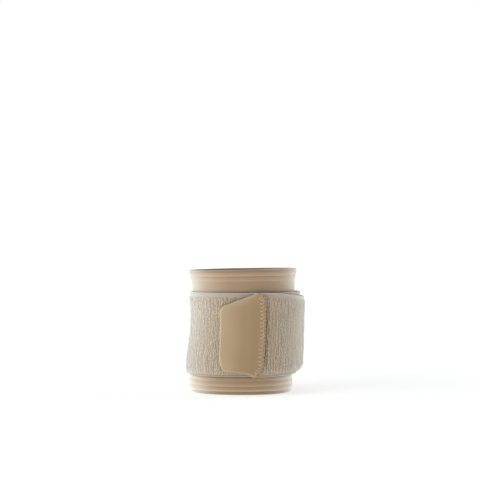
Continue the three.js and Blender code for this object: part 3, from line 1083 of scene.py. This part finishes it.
class WRAP_OT_hook_pad(bpy.types.Operator):
    """Models the hook tape below the tab"""

    bl_idname = "wrap.hook_pad"
    bl_label = "Hook pad"

    COLUMNS = 30
    ROWS = 50
    ROUND = 0.5
    RIM = 0.4

    def execute(self, context):
        def lay(x, y, z):
            share = HOOK_SPAN[0] + y * (HOOK_SPAN[1] - HOOK_SPAN[0])
            start = STRAP_LENGTH + HOOK_INSET / 2
            end = np.interp(share, TAB_SHARES, TAB_FREE) - HOOK_INSET
            distance = start + x * (end - start)
            height = TAB_BOTTOM + share * TAB_HEIGHT
            to_side = np.minimum(x, 1 - x) * (end - start)
            to_rim = np.minimum(to_side, np.minimum(y, 1 - y) * TAB_HEIGHT)
            middle = tab_foot(distance) - GAP - HOOK_THICKNESS / 2
            out = middle + (z - 0.5) * HOOK_THICKNESS * rounded(to_rim, self.ROUND, self.RIM)
            chart = np.stack((distance, height), axis=-1) * MM
            return place(angle_at(distance), height, out), chart, {}

        sheet = cloth_block(self.COLUMNS, self.ROWS)
        move_cloth(sheet, lay)
        settings = context.scene.wrist_wrap
        write_piece("hook_tape", sheet, hook_tape(settings.hook_colour), "hook_pad")
        return {"FINISHED"}


def eased(places, parts):
    """A route through the same places, bent smoothly, with this many steps from each to the next."""
    points = np.array([places[0], *places, places[-1]])
    steps = np.arange(parts)[:, None] / parts
    before, start, end, after = (points[i : len(points) - 3 + i, None] for i in range(4))
    bend = 2 * before - 5 * start + 4 * end - after
    twist = 3 * (start - end) + after - before
    way = start + (steps * (end - before) + steps**2 * bend + steps**3 * twist) / 2
    return [*way.reshape(-1, 3), points[-1]]


def thread_piece(name, places, radius, material):
    """A thread of round section through a list of places, as a closed mesh."""
    curve = bpy.data.curves.new(name, "CURVE")
    curve.dimensions = "3D"
    curve.bevel_depth = radius
    curve.bevel_resolution = 2
    curve.use_fill_caps = True
    line = curve.splines.new("POLY")
    line.points.add(len(places) - 1)
    for point, position in zip(line.points, places):
        point.co = (*position, 1)
    guide = bpy.data.objects.new(name, curve)
    bpy.context.scene.collection.objects.link(guide)
    made = bpy.data.meshes.new_from_object(guide)
    bpy.data.objects.remove(guide)
    sheet = bmesh.new()
    sheet.from_mesh(made)
    bmesh.ops.remove_doubles(sheet, verts=sheet.verts, dist=1e-7)
    bmesh.ops.recalc_face_normals(sheet, faces=sheet.faces)
    return write_piece(name, sheet, material)


class WRAP_OT_stitches(bpy.types.Operator):
    """Models the overlock seam along the tab's sewn side"""

    bl_idname = "wrap.stitches"
    bl_label = "Overlock seam"

    END = 1.2
    ROUTE_STEPS = 4

    # How uneven the stitches are in reach and height, and how far the thread lies above the tab and
    # sinks in at its far end, in its own radius
    UNEVEN_REACH = 0.3
    UNEVEN_HEIGHT = 0.15
    LIE = 0.7
    SINK = -0.4

    # Where the thread turns under the edge: depth in it, share of the tab's thickness, and lift
    UNDER = (-0.2, 0.3, 0.0)

    def execute(self, context):
        settings = context.scene.wrist_wrap
        pitch, reach = settings.stitch_pitch / MM, settings.stitch_reach / MM
        radius = settings.thread_radius / MM
        height = TAB_BOTTOM + TAB_SHARES * TAB_HEIGHT
        way = np.concatenate(([0], np.cumsum(np.hypot(np.diff(TAB_SEWN), np.diff(height)))))
        stitches = int((way[-1] - 2 * self.END) / pitch)
        at = np.linspace(self.END, way[-1] - self.END, 2 * stitches + 1)
        x, y = np.interp(at, way, TAB_SEWN), np.interp(at, way, height)
        ahead = np.interp(at + self.END, way, TAB_SEWN) - np.interp(at - self.END, way, TAB_SEWN)
        rise = np.interp(at + self.END, way, height) - np.interp(at - self.END, way, height)
        length = np.hypot(ahead, rise)
        inward = np.stack((rise / length, -ahead / length), axis=-1)
        chance = random.Random(settings.loop_seed)
        on_face, on_rim = (reach / 2, 1, self.LIE * radius), (TAB_ROUND / 2, 1, self.LIE * radius)
        route = []
        for i, (px, py, (nx, ny)) in enumerate(zip(x, y, inward)):
            if i % 2:
                depth = reach + chance.uniform(-self.UNEVEN_REACH, self.UNEVEN_REACH)
                steps = [(depth, 1, self.SINK * radius), (depth / 2, 1, self.LIE * radius)]
            else:
                steps = [on_face, on_rim, self.UNDER, on_rim]
            shift = chance.uniform(-self.UNEVEN_HEIGHT, self.UNEVEN_HEIGHT)
            for depth, share, lift in steps:
                distance, level = px + nx * depth, py + ny * depth + shift
                surface = tab_out(np.array([distance]), np.array([level]), share, settings)[0]
                route.append(place(float(angle_at(distance)), level, surface + lift))
        thread = sewing_thread(settings.thread_colour)
        way = eased(route, self.ROUTE_STEPS)
        thread_piece("overlock_stitches", way, settings.thread_radius, thread)
        return {"FINISHED"}


class WRAP_OT_stage(bpy.types.Operator):
    """Sets up the floor, the lights and the camera"""

    bl_idname = "wrap.stage"
    bl_label = "Stage"

    # The camera: where it stands, and the size of a pixel at the wrist's axis
    CAMERA_DISTANCE = 650 * MM
    CAMERA_HEIGHT = 94.1 * MM
    CAMERA_ASIDE = -3.4 * MM
    PIXEL_AT_AXIS = 0.626 * MM
    PICTURE = 480

    # The floor's paper and the glow through it, near the part and far out, in metres from it
    FLOOR_RADIUS = 9.0
    FLOOR_SIDES = 96
    PAPER = linear("ececec")
    GLOW_NEAR = 0.44
    GLOW_FAR = 0.9
    GLOW_SPAN = (0.1, 1.2)

    # The world's strength as a light and as it is seen, and the lamps, which face one point
    WORLD = 0.31
    SEEN_WORLD = 1.0
    AIM = (0, 0, 0.04)
    COOL = (0.9, 0.96, 1.0)
    WHITE = (1.0, 1.0, 1.0)
    LAMPS = [
        {"name": "left_window", "at": (-0.95, -0.35, 0.28), "size": 0.9, "power": 7.8, "colour": COOL},
        {"name": "right_window", "at": (0.95, 0.42, 0.2), "size": 0.7, "power": 5.6, "colour": COOL},
        {"name": "top_light", "at": (0.0, 0.1, 1.1), "size": 1.0, "power": 2.4, "colour": WHITE},
    ]

    def floor(self, context):
        """A round sheet of white paper, lit through from below so that it stays white far out."""
        sheet = bmesh.new()
        bmesh.ops.create_circle(sheet, segments=self.FLOOR_SIDES, radius=self.FLOOR_RADIUS, cap_ends=True)
        material, tree = new_material("pale_paper")
        place_on = add_node(tree, "ShaderNodeTexCoord")
        far = add_node(
            tree, "ShaderNodeVectorMath", {0: place_on.outputs["Object"]}, operation="LENGTH"
        )
        glow = add_node(
            tree, "ShaderNodeMapRange",
            {
                "Value": far.outputs["Value"], "From Min": self.GLOW_SPAN[0], "From Max": self.GLOW_SPAN[1],
                "To Min": self.GLOW_NEAR, "To Max": self.GLOW_FAR,
            },
            interpolation_type="SMOOTHSTEP",
        )
        shader = add_node(
            tree, "ShaderNodeBsdfPrincipled",
            {
                "Base Color": (*self.PAPER, 1), "Roughness": 0.9, "Specular IOR Level": 0.1,
                "Emission Color": (1, 1, 1, 1), "Emission Strength": glow.outputs["Result"],
            },
        )
        add_node(tree, "ShaderNodeOutputMaterial", {"Surface": shader.outputs["BSDF"]})
        mesh = bpy.data.meshes.new("floor")
        bmesh.ops.recalc_face_normals(sheet, faces=sheet.faces)
        sheet.to_mesh(mesh)
        sheet.free()
        mesh.materials.append(material)
        floor = bpy.data.objects.new("floor", mesh)
        context.scene.collection.objects.link(floor)

    def surroundings(self, context):
        """White all round, as far as the eye sees, and dimmer as a light."""
        world = bpy.data.worlds.new("studio")
        world.use_nodes = True
        tree = world.node_tree
        seen = add_node(tree, "ShaderNodeLightPath").outputs["Is Camera Ray"]
        more = calculate(tree, "MULTIPLY", seen, self.SEEN_WORLD - self.WORLD)
        background = tree.nodes["Background"]
        background.inputs["Color"].default_value = (1, 1, 1, 1)
        tree.links.new(calculate(tree, "ADD", more, self.WORLD), background.inputs["Strength"])
        context.scene.world = world

    def lamp(self, context, name, at, size, power, colour):
        """A soft square lamp that faces the middle of the part."""
        light = bpy.data.lights.new(name, "AREA")
        light.size = size
        light.energy = power
        light.color = colour
        lamp = bpy.data.objects.new(name, light)
        lamp.location = at
        view = Vector(self.AIM) - Vector(at)
        lamp.rotation_euler = view.to_track_quat("-Z", "Y").to_euler()
        context.scene.collection.objects.link(lamp)

    def execute(self, context):
        self.floor(context)
        self.surroundings(context)
        for lamp in self.LAMPS:
            self.lamp(context, **lamp)
        context.scene.view_settings.view_transform = "Standard"
        camera = bpy.data.cameras.new("camera")
        focal_pixels = self.CAMERA_DISTANCE / self.PIXEL_AT_AXIS
        camera.lens = camera.sensor_width * focal_pixels / self.PICTURE
        eye = bpy.data.objects.new("camera", camera)
        eye.location = (self.CAMERA_ASIDE, -self.CAMERA_DISTANCE, self.CAMERA_HEIGHT)
        eye.rotation_euler = (math.pi / 2, 0, 0)
        context.scene.collection.objects.link(eye)
        context.scene.camera = eye
        return {"FINISHED"}


class WRAP_PT_panel(bpy.types.Panel):
    """Lists the wrap's pieces and their settings"""

    bl_idname = "WRAP_PT_panel"
    bl_label = "Wrist Wrap"
    bl_space_type = "VIEW_3D"
    bl_region_type = "UI"
    bl_category = "Wrist Wrap"

    def draw(self, context):
        for name in WristWrapSettings.__annotations__:
            self.layout.prop(context.scene.wrist_wrap, name)
        for operator in OPERATORS:
            self.layout.operator(operator.bl_idname)


OPERATORS = (
    WRAP_OT_sleeve,
    WRAP_OT_strap,
    WRAP_OT_pile,
    WRAP_OT_tab,
    WRAP_OT_hook_pad,
    WRAP_OT_stitches,
    WRAP_OT_stage,
)
CLASSES = (WristWrapSettings, *OPERATORS, WRAP_PT_panel)


def register():
    for each in CLASSES:
        bpy.utils.register_class(each)
    bpy.types.Scene.wrist_wrap = PointerProperty(type=WristWrapSettings)


def unregister():
    del bpy.types.Scene.wrist_wrap
    for each in reversed(CLASSES):
        bpy.utils.unregister_class(each)


def main():
    """Makes the pieces in order."""
    register()
    bpy.ops.wrap.sleeve()
    bpy.ops.wrap.strap()
    bpy.ops.wrap.pile()
    bpy.ops.wrap.tab()
    bpy.ops.wrap.hook_pad()
    bpy.ops.wrap.stitches()
    bpy.ops.wrap.stage()


if __name__ == "__main__":
    main()
